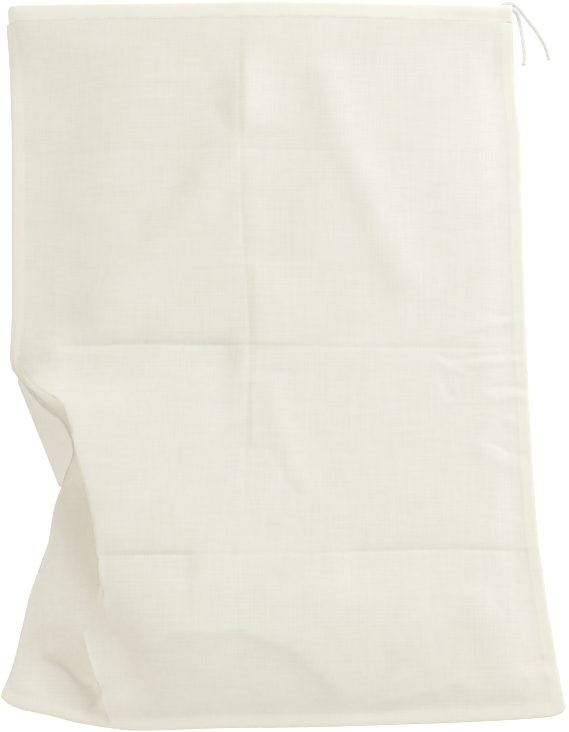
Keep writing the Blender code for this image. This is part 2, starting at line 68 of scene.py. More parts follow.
# Cross-sections from the bottom, along = 0, to the mouth, along = 1. Places across the bag are shares
# of WIDTH from its middle, and heights are shares of LOFT above the seam.
SECTION_COLUMNS = (
    "along", "seam", "seam_up", "facet", "facet_up", "fold", "fold_up",
    "crest", "crest_up", "left_up", "middle_up", "right_up", "hem_up",
)
SECTIONS = (
    (0.000, -0.494, 0.00, -0.326, 0.00, -0.290, 0.00, -0.244, 0.00, 0.00, 0.00, 0.00, 0.00),
    (0.005, -0.494, 0.00, -0.326, 0.05, -0.291, 0.09, -0.244, 0.09, 0.09, 0.07, 0.06, 0.05),
    (0.020, -0.491, 0.00, -0.335, 0.03, -0.296, 0.24, -0.244, 0.19, 0.18, 0.14, 0.11, 0.07),
    (0.050, -0.481, 0.00, -0.356, 0.03, -0.308, 0.44, -0.251, 0.36, 0.40, 0.33, 0.23, 0.09),
    (0.075, -0.473, 0.00, -0.374, 0.06, -0.318, 0.54, -0.257, 0.51, 0.60, 0.47, 0.29, 0.09),
    (0.100, -0.466, 0.00, -0.386, 0.21, -0.329, 0.57, -0.267, 0.62, 0.76, 0.58, 0.33, 0.09),
    (0.122, -0.461, 0.00, -0.386, 0.33, -0.336, 0.57, -0.280, 0.70, 0.86, 0.65, 0.36, 0.09),
    (0.140, -0.456, 0.00, -0.382, 0.40, -0.326, 0.61, -0.292, 0.80, 0.90, 0.68, 0.38, 0.09),
    (0.167, -0.449, 0.00, -0.376, 0.38, -0.314, 0.70, -0.300, 0.91, 0.94, 0.70, 0.39, 0.09),
    (0.206, -0.432, 0.00, -0.368, 0.28, -0.305, 0.60, -0.310, 0.98, 0.97, 0.70, 0.39, 0.09),
    (0.247, -0.414, 0.00, -0.360, 0.16, -0.302, 0.40, -0.314, 1.00, 0.97, 0.69, 0.37, 0.09),
    (0.287, -0.406, 0.00, -0.356, 0.13, -0.303, 0.29, -0.325, 1.00, 0.94, 0.67, 0.35, 0.09),
    (0.314, -0.394, 0.00, -0.352, 0.18, -0.309, 0.34, -0.335, 1.00, 0.90, 0.65, 0.34, 0.09),
    (0.338, -0.376, 0.39, -0.347, 0.48, -0.318, 0.56, -0.346, 1.00, 0.86, 0.63, 0.33, 0.09),
    (0.361, -0.361, 0.74, -0.342, 0.75, -0.324, 0.72, -0.356, 1.00, 0.82, 0.61, 0.32, 0.09),
    (0.399, -0.381, 0.64, -0.365, 0.71, -0.347, 0.72, -0.370, 0.95, 0.75, 0.58, 0.32, 0.09),
    (0.421, -0.420, 0.36, -0.402, 0.49, -0.385, 0.62, -0.382, 0.87, 0.71, 0.56, 0.32, 0.09),
    (0.447, -0.456, 0.15, -0.447, 0.27, -0.438, 0.41, -0.428, 0.57, 0.66, 0.54, 0.32, 0.09),
    (0.467, -0.481, 0.05, -0.475, 0.13, -0.468, 0.22, -0.461, 0.32, 0.60, 0.53, 0.32, 0.09),
    (0.483, -0.495, 0.01, -0.489, 0.10, -0.480, 0.18, -0.466, 0.27, 0.54, 0.52, 0.32, 0.09),
    (0.500, -0.498, 0.00, -0.490, 0.13, -0.478, 0.22, -0.459, 0.32, 0.51, 0.51, 0.32, 0.09),
    (0.560, -0.497, 0.00, -0.487, 0.12, -0.473, 0.20, -0.451, 0.28, 0.47, 0.51, 0.32, 0.09),
    (0.660, -0.502, 0.00, -0.492, 0.10, -0.480, 0.17, -0.456, 0.23, 0.42, 0.53, 0.32, 0.09),
    (0.800, -0.508, 0.00, -0.498, 0.10, -0.486, 0.16, -0.462, 0.22, 0.41, 0.55, 0.32, 0.09),
    (0.930, -0.518, 0.00, -0.508, 0.12, -0.495, 0.19, -0.475, 0.25, 0.41, 0.51, 0.33, 0.12),
)
MOUTH_SECTION = {
    "seam": -0.5220, "seam_up": 0.0, "facet": -0.5165, "fold": -0.5090, "crest": -0.4960,
    "facet_up": (0.55 * FRONT_CASING_LEFT - SEAM_LEVEL) / LOFT,
    "fold_up": (0.90 * FRONT_CASING_LEFT - SEAM_LEVEL) / LOFT,
    "crest_up": (FRONT_CASING_LEFT - SEAM_LEVEL) / LOFT,
    "left_up": (0.35 * FRONT_CASING_LEFT + 0.65 * FRONT_CASING_MIDDLE - SEAM_LEVEL) / LOFT,
    "middle_up": (FRONT_CASING_MIDDLE - SEAM_LEVEL) / LOFT,
    "right_up": (0.6 * FRONT_CASING_RIGHT + 0.4 * FRONT_CASING_MIDDLE - SEAM_LEVEL) / LOFT,
    "hem_up": (FRONT_CASING_RIGHT - SEAM_LEVEL) / LOFT,
}
RIGHT_LINE = (
    (0.000, 0.050, 0.100, 0.150, 0.200, 0.260, 0.330, 0.490, 0.660, 0.800, 0.880, 1.000),
    (0.553, 0.544, 0.535, 0.526, 0.518, 0.509, 0.505, 0.499, 0.497, 0.498, 0.490, 0.484),
)
BOTTOM_LINE = (
    (-0.494, -0.480, -0.456, -0.414, -0.340, -0.236, -0.088, 0.060, 0.210, 0.360, 0.495, 0.525, 0.545,
     0.553),
    (0.0395, 0.0310, 0.0240, 0.0181, 0.0055, -0.0030, 0.0000, 0.0012, 0.0040, 0.0077, 0.0128, 0.0150,
     0.0200, 0.0270),
)
BOTTOM_REACH = 0.2
FIELDS = ((-0.19, "left_up"), (0.0, "middle_up"), (0.30, "right_up"))


def hermite(start, end, start_slope, end_slope, share):
    return (
        start * (1 + 2 * share) * (1 - share) ** 2
        + end * share * share * (3 - 2 * share)
        + start_slope * share * (1 - share) ** 2
        + end_slope * share * share * (share - 1)
    )


def follow(places, values, at):
    """The value at a place on a smooth curve that never overshoots the values."""
    places = np.asarray(places)
    values = np.asarray(values)
    steps = np.diff(places)
    rises = np.diff(values) / steps
    slopes = np.zeros(len(values))
    slopes[0], slopes[-1] = rises[0], rises[-1]
    for i in range(1, len(values) - 1):
        if rises[i - 1] * rises[i] > 0:
            before = 2 * steps[i] + steps[i - 1]
            after = steps[i] + 2 * steps[i - 1]
            slopes[i] = (before + after) / (before / rises[i - 1] + after / rises[i])
    at = min(max(at, places[0]), places[-1])
    i = min(int(np.searchsorted(places, at, side="right")) - 1, len(places) - 2)
    share = (at - places[i]) / steps[i]
    return hermite(values[i], values[i + 1], slopes[i] * steps[i], slopes[i + 1] * steps[i], share)


def section_value(column, along):
    i = SECTION_COLUMNS.index(column)
    places = [row[0] for row in SECTIONS] + [1.0]
    values = [row[i] for row in SECTIONS] + [MOUTH_SECTION[column]]
    return follow(places, values, along)


def section_points(along):
    """The named points of the front panel across the bag, as (x, z)."""
    value = {column: section_value(column, along) for column in SECTION_COLUMNS[1:]}
    edge = follow(*RIGHT_LINE, along) * WIDTH
    lift = SEAM_LIFT * max(0.0, 1 - value["seam_up"] / 0.2) * min(1.0, along / 0.005)
    seam = (value["seam"] * WIDTH, SEAM_LEVEL + value["seam_up"] * LOFT)
    points = [seam, (seam[0] + 0.002, seam[1] + lift)]
    for name in ("facet", "fold", "crest"):
        points.append((value[name] * WIDTH, SEAM_LEVEL + value[name + "_up"] * LOFT))
    for place, name in FIELDS:
        points.append((place * WIDTH, SEAM_LEVEL + value[name] * LOFT))
    hem = value["hem_up"] * LOFT
    near = min(SEAM_LIFT, hem) + max(0.0, hem - 2 * SEAM_LIFT) * 0.5
    points.append((edge - SEAM_ALLOWANCE - 0.002, SEAM_LEVEL + hem))
    points.append((edge - 0.002, SEAM_LEVEL + near))
    points.append((edge, SEAM_LEVEL))
    return np.array(points)


def smooth_line(points, crisp):
    """A curve through the points, with corners where crisp is near one."""
    chords = np.maximum(np.linalg.norm(np.diff(points, axis=0), axis=1), 1e-6)
    runs = np.diff(points, axis=0) / chords[:, None]
    slopes = np.empty_like(points)
    slopes[0], slopes[-1] = runs[0], runs[-1]
    for i in range(1, len(points) - 1):
        slopes[i] = (chords[i] * runs[i - 1] + chords[i - 1] * runs[i]) / (chords[i - 1] + chords[i])
    slopes *= 1 - np.asarray(crisp)[:, None]

    def at(station):
        i = min(int(station), len(points) - 2)
        before = min(chords[i], 2 * chords[max(i - 1, 0)])
        after = min(chords[i], 2 * chords[min(i + 1, len(chords) - 1)])
        return hermite(points[i], points[i + 1], slopes[i] * before, slopes[i + 1] * after, station - i)

    return at


def front_line(along):
    buckled = min(1.0, max(0.0, (0.483 - along) / 0.03)) * min(1.0, along / 0.01)
    crisp = np.zeros(11)
    crisp[3] = buckled * (0.45 + 0.5 * min(1.0, max(0.0, (0.15 - along) / 0.03)))
    crisp[4] = 0.85 * buckled * min(1.0, max(0.2, (along - 0.09) / 0.05))
    return smooth_line(section_points(along), crisp)


def on_bag(x, z, along):
    """A point of a section, moved for the bottom edge's curve and the bag's place in the frame."""
    fade = max(0.0, 1 - along / BOTTOM_REACH) ** 2
    rise = follow(*BOTTOM_LINE, x / WIDTH) * fade
    return np.array((x + BAG_X, (along + rise) * LENGTH + BAG_Y, z))


def stations_in(spans):
    """Places along a section: each span gives how many steps it has up to each share of itself."""
    found = []
    for i, span in enumerate(spans):
        start = 0.0
        for end, count in span:
            found += [i + start + (end - start) * step / count for step in range(count)]
            start = end
    return found + [float(len(spans))]


def rows_in(bands):
    found = []
    for start, end, count in bands:
        found += [start + (end - start) * step / count for step in range(count)]
    return found + [bands[-1][1]]


FRONT_STATIONS = stations_in((
    ((1, 4),), ((1, 10),), ((0.86, 10), (1, 9)), ((0.14, 8), (1, 8)), ((1, 20),),
    ((0.60, 14), (0.86, 20), (1, 4)), ((1, 40),), ((1, 30),), ((1, 14),), ((1, 6),),
))
FRONT_ROWS = rows_in((
    (0.0, 0.02, 9), (0.02, 0.2, 44), (0.2, 0.22, 5), (0.22, 0.236, 9), (0.236, 0.3, 14), (0.3, 0.485, 54),
    (0.485, 0.5, 5), (0.5, 0.522, 14), (0.522, 0.765, 44), (0.765, 0.787, 9), (0.787, 0.96, 28),
    (0.96, PANEL_END, 5),
))


def in_rows(build):
    """A grid's vertices from left to right in each row, from the bottom row up."""
    return sorted(build.verts, key=lambda vert: (round(vert.co.y, 6), round(vert.co.x, 6)))


def finished_mesh(name, build):
    mesh = bpy.data.meshes.new(name)
    build.to_mesh(mesh)
    build.free()
    return mesh


def mark_turned_in(mesh, values):
    """Stores how much extra cloth lies at each point, which the muslin shows as a warmer tone."""
    mesh.attributes.new("turned_in", "FLOAT", "POINT").data.foreach_set("value", values)


def cloth_grid(name, line_at, stations, rows):
    """A grid of cloth laid over the curves of a panel, with its cut edges along the seams."""
    sheet = bmesh.new()
    bmesh.ops.create_grid(sheet, x_segments=len(stations) - 1, y_segments=len(rows) - 1, size=1)
    order = in_rows(sheet)
    across = len(stations)
    for j, along in enumerate(rows):
        line = line_at(along)
        for i, station in enumerate(stations):
            order[j * across + i].co = on_bag(*line(station), along)
    sheet.normal_update()
    return finished_mesh(name, sheet)


def points_of(mesh):
    flat = np.empty(len(mesh.vertices) * 3)
    mesh.vertices.foreach_get("co", flat)
    return flat.reshape(-1, 3)


def normals_of(mesh):
    return np.array([vert.normal[:] for vert in mesh.vertices])


def set_points(mesh, points):
    mesh.vertices.foreach_set("co", points.ravel())
    mesh.update()


def eased(value):
    """From 0 to 1 without a corner, as value goes from 0 to 1."""
    value = np.clip(value, 0, 1)
    return value * value * (3 - 2 * value)


# The photograph's camera: its picture and focal length in pixels, and where it looks from and at.
PHOTO_HEIGHT = 732
PHOTO_MIDDLE = (284.5, 366)
PHOTO_FOCAL = 1519
PHOTO_TILT = math.radians(10)
PHOTO_AIM = (0.004597, -0.005929)
EYE_DISTANCE = 0.9
EYE_OFFSET = (0.0, -EYE_DISTANCE * math.sin(PHOTO_TILT), EYE_DISTANCE * math.cos(PHOTO_TILT))


def to_cad(column, row, z=0.008):
    """Where a pixel of the photograph lies on the bag."""
    across = (column - PHOTO_MIDDLE[0]) / PHOTO_FOCAL
    down = (row - PHOTO_MIDDLE[1]) / PHOTO_FOCAL
    forward = math.sin(PHOTO_TILT) - down * math.cos(PHOTO_TILT)
    upward = -math.cos(PHOTO_TILT) - down * math.sin(PHOTO_TILT)
    direction = np.array((across, forward, upward))
    reach = (z - EYE_OFFSET[2]) / upward
    return (EYE_OFFSET + direction * reach)[:2] + PHOTO_AIM


def stroke_field(points, strokes):
    """Heights of creases. A soft one is rounded, a sharp one a ridge, and one that falls is steep on
    its left side, seen along its route, and slow on its right.
    """
    total = np.zeros(len(points))
    for route, width, height, kind in strokes:
        places = np.array([to_cad(*pixel) for pixel in route])
        best = np.full(len(points), np.inf)
        side = np.zeros(len(points))
        share = np.zeros(len(points))
        lengths = np.concatenate(([0], np.cumsum(np.linalg.norm(np.diff(places, axis=0), axis=1))))
        for i in range(len(places) - 1):
            run = places[i + 1] - places[i]
            span = max(np.dot(run, run), 1e-12)
            offset = points[:, :2] - places[i]
            covered = np.clip(offset @ run / span, 0, 1)
            away = offset - covered[:, None] * run
            distance = np.hypot(away[:, 0], away[:, 1])
            nearer = distance < best
            best = np.where(nearer, distance, best)
            side = np.where(nearer, np.sign(run[0] * away[:, 1] - run[1] * away[:, 0]), side)
            share = np.where(nearer, (lengths[i] + covered * math.sqrt(span)) / lengths[-1], share)
        ends = eased(np.minimum(share, 1 - share) / 0.12)
        reach = best / (width * 0.001)
        if kind == "sharp":
            profile = np.exp(-1.6 * reach)
        elif kind == "fall":
            profile = np.where(side > 0, np.exp(-1.6 * reach), np.exp(-(reach * reach) / 20))
        else:
            profile = np.exp(-reach * reach)
        total += profile * height * 0.001 * ends
    return total


# Creases, listed one by one: the pixels that each runs through, its half width and height in mm, its kind.
CREASES = (
    (((36, 349), (120, 346), (240, 347), (380, 349), (470, 348), (531, 345)), 2.6, -0.50, "sharp"),
    (((50, 345), (90, 345), (140, 344), (200, 345), (246, 347)), 8.0, -2.90, "fall"),
    (((380, 347), (440, 346), (480, 345)), 7.0, -0.50, "fall"),
    (((20, 154), (190, 152), (360, 155), (520, 152)), 3.0, -0.35, "sharp"),
    (((99, 555), (150, 556), (240, 556), (370, 552), (450, 549), (541, 552)), 2.6, -0.40, "sharp"),
    (((97, 557), (125, 557), (160, 556), (200, 556)), 6.0, -1.80, "fall"),
    (((330, 552), (400, 550), (470, 549), (541, 551)), 5.5, -1.20, "fall"),
    (((240, 20), (240, 120), (243, 240), (248, 300), (250, 370), (246, 440), (244, 545)), 2.5, -0.35,
     "sharp"),
    (((244, 142), (246, 112), (245, 70), (244, 20)), 6.5, 1.25, "fall"),
    (((254, 250), (250, 200), (247, 150)), 7.0, 0.50, "soft"),
    (((257, 354), (256, 330), (256, 300), (253, 264)), 5.5, 1.05, "fall"),
    (((252, 452), (253, 425), (252, 395), (251, 374)), 5.0, 0.85, "fall"),
    (((250, 50), (238, 120), (220, 162), (200, 202), (166, 240), (120, 288), (70, 330)), 12.0, 3.30,
     "soft"),
    (((212, 104), (228, 132), (224, 158), (206, 186)), 6.0, -0.90, "soft"),
    (((316, 50), (338, 140), (364, 188), (390, 252), (410, 306)), 12.0, 2.10, "soft"),
    (((290, 60), (286, 180), (282, 300)), 16.0, -1.10, "soft"),
    (((150, 40), (120, 140), (70, 230)), 20.0, 0.80, "soft"),
    (((430, 40), (440, 140), (470, 230)), 20.0, 0.90, "soft"),
    (((270, 380), (282, 440), (308, 500)), 6.0, 0.70, "soft"),
    (((258, 434), (276, 464), (297, 496)), 1.8, -0.40, "sharp"),
    (((531, 304), (505, 313), (476, 311)), 2.2, -0.60, "sharp"),
    (((531, 314), (500, 323), (468, 330), (436, 342)), 2.4, 0.70, "sharp"),
    (((531, 326), (505, 332), (480, 338)), 3.0, -0.50, "soft"),
    (((531, 350), (490, 355), (450, 360), (430, 353)), 2.4, -0.70, "sharp"),
    (((531, 358), (490, 361), (462, 366)), 2.6, 0.70, "soft"),
    (((532, 387), (505, 384), (484, 389)), 2.2, -0.70, "sharp"),
    (((531, 396), (512, 394), (490, 401)), 2.8, 0.80, "soft"),
    (((434, 357), (446, 367), (466, 372)), 2.2, 0.55, "sharp"),
    (((440, 371), (444, 384), (452, 400)), 3.0, -0.60, "soft"),
    (((533, 456), (512, 452), (486, 440)), 2.4, -0.60, "sharp"),
    (((470, 440), (500, 462), (534, 470)), 6.0, 0.80, "soft"),
    (((534, 420), (520, 424), (505, 420)), 3.0, 0.55, "soft"),
    (((352, 712), (330, 682), (290, 648), (240, 630), (176, 634), (124, 654)), 11.0, 2.70, "fall"),
    (((150, 700), (200, 684), (260, 688), (300, 712)), 12.0, 0.80, "soft"),
    (((326, 694), (384, 686), (440, 663)), 2.4, 0.60, "sharp"),
    (((350, 706), (400, 700), (470, 676)), 3.0, 0.60, "sharp"),
    (((352, 718), (410, 712), (470, 690)), 5.0, -0.70, "soft"),
    (((380, 650), (430, 640), (500, 600)), 12.0, 0.90, "soft"),
    (((470, 580), (490, 640), (520, 700)), 9.0, 0.90, "soft"),
    (((556, 664), (540, 660), (520, 668)), 2.4, -0.60, "sharp"),
    (((560, 676), (545, 674), (524, 682)), 3.0, 0.85, "soft"),
    (((300, 590), (360, 600), (430, 592)), 9.0, 0.70, "soft"),
    (((36, 349), (44, 356), (52, 372)), 3.5, -0.50, "soft"),
    (((38, 664), (60, 678), (82, 692), (98, 706)), 7.5, -3.80, "soft"),
    (((42, 650), (60, 657), (76, 669), (88, 686)), 5.5, 1.70, "soft"),
)
MOUTH_LIFT = 0.0019
MOUTH_REACH = 0.032
BUCKLE_TOP = 0.45
HIDDEN_BAND = 0.02
CORNER_REACH = 0.014


def undulation(points):
    """The low, uneven swell of cloth that isn't ironed, the same in each run."""
    total = np.zeros(len(points))
    for size, height in ((0.075, 0.00050), (0.034, 0.00026), (0.016, 0.00011), (0.0075, 0.00004)):
        for i, (x, y, z) in enumerate(points):
            total[i] += height * noise.noise(Vector((x / size + 3.1, y / size - 1.7, z / size)))
    return total


def seam_distances(grid):
    """How far each point is from the left, right and bottom seams, measured over the cloth."""
    across = np.linalg.norm(np.diff(grid, axis=1), axis=2)
    left = np.concatenate((np.zeros((len(grid), 1)), np.cumsum(across, axis=1)), axis=1)
    up = np.linalg.norm(np.diff(grid, axis=0), axis=2)
    bottom = np.concatenate((np.zeros((1, grid.shape[1])), np.cumsum(up, axis=0)), axis=0)
    return left, left[:, -1:] - left, bottom


front_mesh = cloth_grid("front_panel_cloth", front_line, FRONT_STATIONS, FRONT_ROWS)
front_shape = (len(FRONT_ROWS), len(FRONT_STATIONS), 3)
front_grid = points_of(front_mesh).reshape(front_shape)
to_left, to_right, to_bottom = seam_distances(front_grid)
rows_along = np.array(FRONT_ROWS)

# Beside its seams the cloth lies flatter than the sections say, except near the mouth.
unbuckled = eased((rows_along - BUCKLE_TOP) / 0.12)[:, None]
below_mouth = eased((PANEL_END - rows_along) * LENGTH / 0.05)[:, None]
for distance, edge_height, reach, low in (
    (to_left, front_grid[:, :1, 2], 0.010 + 0.055 * unbuckled, 0.40 - 0.30 * unbuckled),
    (to_right, front_grid[:, -1:, 2], 0.024, 0.15),
    (to_bottom, front_grid[:1, :, 2], 0.016, 0.30),
):
    softer = low + (1 - low) * eased((distance - 0.003) / reach)
    softer = 1 - (1 - softer) * below_mouth
    front_grid[:, :, 2] = edge_height + (front_grid[:, :, 2] - edge_height) * softer

# At the mouth's right corner it rises straight from the seam to the casing.
level_with = np.array([
    np.interp(CORNER_REACH, distances[::-1], heights[::-1])
    for distances, heights in zip(to_right, front_grid[:, :, 2])
])
corner_edge = 0.5 * (FRONT_CASING_RIGHT + CASING_RADIUS)
corner = corner_edge + (level_with[:, None] - corner_edge) * np.clip(to_right / CORNER_REACH, 0, 1)
corner_rise = np.where(to_right < CORNER_REACH, np.maximum(corner - front_grid[:, :, 2], 0), 0)
front_grid[:, :, 2] += (1 - below_mouth) * corner_rise
set_points(front_mesh, front_grid.reshape(-1, 3))

# Creases, the swell, the step of the turned-in bands and their puckers, along the cloth's normals.
front_normals = normals_of(front_mesh)
flat_points = front_grid.reshape(-1, 3)
shown_band = eased((rows_along - BUCKLE_TOP) / 0.05)[:, None]
band_left = np.where(to_left < HIDDEN_BAND, to_left + HIDDEN_BAND * (1 - shown_band), to_left)
seam_distance = np.minimum(np.minimum(to_left, to_right), to_bottom).ravel()
band_distance = np.minimum(np.minimum(band_left, to_right), to_bottom).ravel()
mouth_calm = eased((LENGTH * PANEL_END + BAG_Y - flat_points[:, 1]) / MOUTH_REACH)
turned_in = 1 - eased((band_distance - SEAM_ALLOWANCE + 0.0006) / 0.0012)
hem_step = 1 - eased((band_distance - SEAM_ALLOWANCE + 0.0004) / 0.0016)
calm = eased(seam_distance / 0.012)
amount = stroke_field(flat_points, CREASES) * (0.35 + 0.65 * calm) * (0.2 + 0.8 * mouth_calm)
amount += undulation(flat_points) * (0.3 + 0.7 * calm) * (0.2 + 0.8 * mouth_calm)
amount += 0.00014 * hem_step * mouth_calm + MOUTH_LIFT * (1 - mouth_calm)
pucker = np.array([noise.noise(Vector((x * 160, y * 160, 0.5))) for x, y, z in flat_points])
amount += 0.00012 * pucker * turned_in * eased(seam_distance / 0.003)

# Low on the buckle the fold is pinched to a fine ridge, down to the bottom seam.
from_fold = np.abs(to_left - to_left[:, FRONT_STATIONS.index(3.0)][:, None])
pinched = eased((0.135 - rows_along) / 0.02) * eased(rows_along / 0.006)
amount += (0.0004 * np.exp(-from_fold / 0.0009) * pinched[:, None]).ravel()
front_grid = (flat_points + front_normals * amount[:, None]).reshape(front_shape)

# The seamed edge sinks on to the table, and nothing goes below the back panel.
on_table = np.clip(1 - (front_grid[:, :, 2] - SEAM_LEVEL) / 0.003, 0, 1)
edge_drop = (1 - eased(seam_distance / 0.002)).reshape(front_shape[:2])
front_grid[:, :, 2] -= 0.0004 * edge_drop * on_table
front_grid[:, :, 2] = np.maximum(front_grid[:, :, 2], CLOTH * 1.8)
set_points(front_mesh, front_grid.reshape(-1, 3))
mark_turned_in(front_mesh, turned_in)


def linear(hex_colour):
    """An sRGB hex colour as linear red, green, blue and alpha."""
    channels = [int(hex_colour[i : i + 2], 16) / 255 for i in (1, 3, 5)]
    return tuple(c / 12.92 if c <= 0.04045 else ((c + 0.055) / 1.055) ** 2.4 for c in channels) + (1.0,)


def add(nodes, kind, settings=None, inputs=None):
    """One shader node with its settings, and with values or links into its inputs."""
    made = nodes.nodes.new(kind)
    for name, value in (settings or {}).items():
        setattr(made, name, value)
    for name, value in (inputs or {}).items():
        if isinstance(value, bpy.types.NodeSocket):
            nodes.links.new(value, made.inputs[name])
        else:
            made.inputs[name].default_value = value
    return made


# Cotton muslin, plain woven and unbleached. Its threads are 0.45 mm apart, too fine for the render, so
# the weave is drawn at 2.2 mm. Uneven yarn gives it faint streaks along both threads, and seed specks
# show here and there. Light goes a little way into it, which softens its shadows.
THREAD_SPACING = 0.0022


def muslin(name, colour, streak_colour, seam_colour):
    made = bpy.data.materials.new(name)
    made.use_nodes = True
    nodes = made.node_tree
    shader = nodes.nodes["Principled BSDF"]
    place = add(nodes, "ShaderNodeTexCoord").outputs["Object"]
    warp_stretch = add(nodes, "ShaderNodeMapping", inputs={"Vector": place, "Scale": (1.0, 0.06, 1.0)})
    weft_stretch = add(nodes, "ShaderNodeMapping", inputs={"Vector": place, "Scale": (0.06, 1.0, 1.0)})
    warp_slubs = add(
        nodes, "ShaderNodeTexNoise",
        inputs={"Vector": warp_stretch.outputs["Vector"], "Scale": 620.0, "Detail": 3.0, "Roughness": 0.6},
    )
    weft_slubs = add(
        nodes, "ShaderNodeTexNoise",
        inputs={"Vector": weft_stretch.outputs["Vector"], "Scale": 560.0, "Detail": 3.0, "Roughness": 0.6},
    )
    mottle = add(
        nodes, "ShaderNodeTexNoise",
        inputs={"Vector": place, "Scale": 42.0, "Detail": 4.0, "Roughness": 0.55},
    )
    slubs = add(
        nodes, "ShaderNodeMath", {"operation": "ADD"},
        {0: warp_slubs.outputs["Fac"], 1: weft_slubs.outputs["Fac"]},
    )
    uneven = add(
        nodes, "ShaderNodeMath", {"operation": "MULTIPLY_ADD"},
        {0: mottle.outputs["Fac"], 1: 0.9, 2: slubs.outputs["Value"]},
    )
    streaks = add(
        nodes, "ShaderNodeMapRange",
        inputs={"Value": uneven.outputs["Value"], "From Min": 0.9, "From Max": 2.0},
    )
    cloth = add(
        nodes, "ShaderNodeMix", {"data_type": "RGBA"},
        {"Factor": streaks.outputs["Result"], "A": linear(streak_colour), "B": linear(colour)},
    )
    layers_here = add(nodes, "ShaderNodeAttribute", {"attribute_name": "turned_in"})
    layered = add(
        nodes, "ShaderNodeMath", {"operation": "MULTIPLY"}, {0: layers_here.outputs["Fac"], 1: 0.5},
    )
    seamed = add(
        nodes, "ShaderNodeMix", {"data_type": "RGBA"},
        {"Factor": layered.outputs["Value"], "A": cloth.outputs["Result"], "B": linear(seam_colour)},
    )
    speck_noise = add(
        nodes, "ShaderNodeTexVoronoi", {"feature": "F1"},
        {"Vector": place, "Scale": 38.0, "Randomness": 1.0},
    )
    speck = add(
        nodes, "ShaderNodeMapRange",
        inputs={"Value": speck_noise.outputs["Distance"], "From Min": 0.012, "From Max": 0.03,
                "To Min": 0.16, "To Max": 0.0},
    )
    speckled = add(
        nodes, "ShaderNodeMix", {"data_type": "RGBA"},
        {"Factor": speck.outputs["Result"], "A": seamed.outputs["Result"], "B": linear("#B9A884")},
    )
    nodes.links.new(speckled.outputs["Result"], shader.inputs["Base Color"])
    wave_scale = math.pi / (10 * THREAD_SPACING)
    warp = add(
        nodes, "ShaderNodeTexWave", {"wave_type": "BANDS", "bands_direction": "X"},
        {"Vector": place, "Scale": wave_scale, "Distortion": 1.2, "Detail": 2.0, "Detail Scale": 1.0},
    )
    weft = add(
        nodes, "ShaderNodeTexWave", {"wave_type": "BANDS", "bands_direction": "Y"},
        {"Vector": place, "Scale": wave_scale, "Distortion": 1.2, "Detail": 2.0, "Detail Scale": 1.0},
    )
    weave = add(
        nodes, "ShaderNodeMath", {"operation": "MULTIPLY"},
        {0: warp.outputs["Fac"], 1: weft.outputs["Fac"]},
    )
    threads = add(
        nodes, "ShaderNodeMath", {"operation": "MULTIPLY_ADD"},
        {0: slubs.outputs["Value"], 1: 0.8, 2: weave.outputs["Value"]},
    )
    bump = add(
        nodes, "ShaderNodeBump",
        inputs={"Height": threads.outputs["Value"], "Strength": 0.24, "Distance": 0.00012},
    )
    nodes.links.new(bump.outputs["Normal"], shader.inputs["Normal"])
    shader.inputs["Subsurface Weight"].default_value = 0.2
    shader.inputs["Subsurface Radius"].default_value = (1.0, 0.88, 0.7)
    shader.inputs["Subsurface Scale"].default_value = 0.002
    shader.inputs["Roughness"].default_value = 0.92
    shader.inputs["Specular IOR Level"].default_value = 0.25
    shader.inputs["Sheen Weight"].default_value = 0.12
    shader.inputs["Sheen Roughness"].default_value = 0.5
    return made


panel_muslin = muslin("woven_cotton_muslin", "#F6F5EF", "#EEEDE5", "#FBF9EF")


def add_piece(name, mesh, finish):
    made = bpy.data.objects.new(name, mesh)
    bpy.context.scene.collection.objects.link(made)
    mesh.materials.append(finish)
    mesh.shade_smooth()
    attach(made, "root")
    return made


def thicken(piece, thickness):
    wall = piece.modifiers.new("cloth thickness", "SOLIDIFY")
    wall.thickness = thickness
    wall.offset = 0
    wall.use_even_offset = False
    wall.use_rim = True


front_panel = add_piece("front_panel_cloth", front_mesh, panel_muslin)
thicken(front_panel, CLOTH)
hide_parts("front_panel")


# The back panel is a second piece of the same muslin, flat on the table. Where the side is buckled it
# follows the seam up off the table. The two panels are sewn together along three sides.
HEEL_ENDS = ((0.3135, -0.3945), (0.4840, -0.4955))
BACK_LEVEL = 0.0005


def back_line(along):
    seam_x, seam_z = section_points(along)[0]
    heel = seam_x
    if HEEL_ENDS[0][0] < along < HEEL_ENDS[1][0]:
        heel = float(np.interp(along, *zip(*HEEL_ENDS))) * WIDTH
    lifted = min(1.0, (seam_z - SEAM_LEVEL) / 0.004)
    flat = 1 - min(1.0, (seam_x - heel) / 0.002)
    edge = (seam_x - lifted * 0.001, seam_z - 0.0013 * (1 + 0.1 * lifted))
    wall = (heel * 0.5 + edge[0] * 0.5 + 0.002 * flat, (edge[1] + BACK_LEVEL) / 2)
    right = follow(*RIGHT_LINE, along) * WIDTH
    points = [
        edge, wall, (heel + 0.004 * flat, BACK_LEVEL), (heel + 0.010, BACK_LEVEL),
        (0.0, BACK_LEVEL), (right - 0.006, BACK_LEVEL), (right, BACK_LEVEL),
    ]
    return smooth_line(np.array(points), [0, 0, 1, 1, 1, 1, 1])


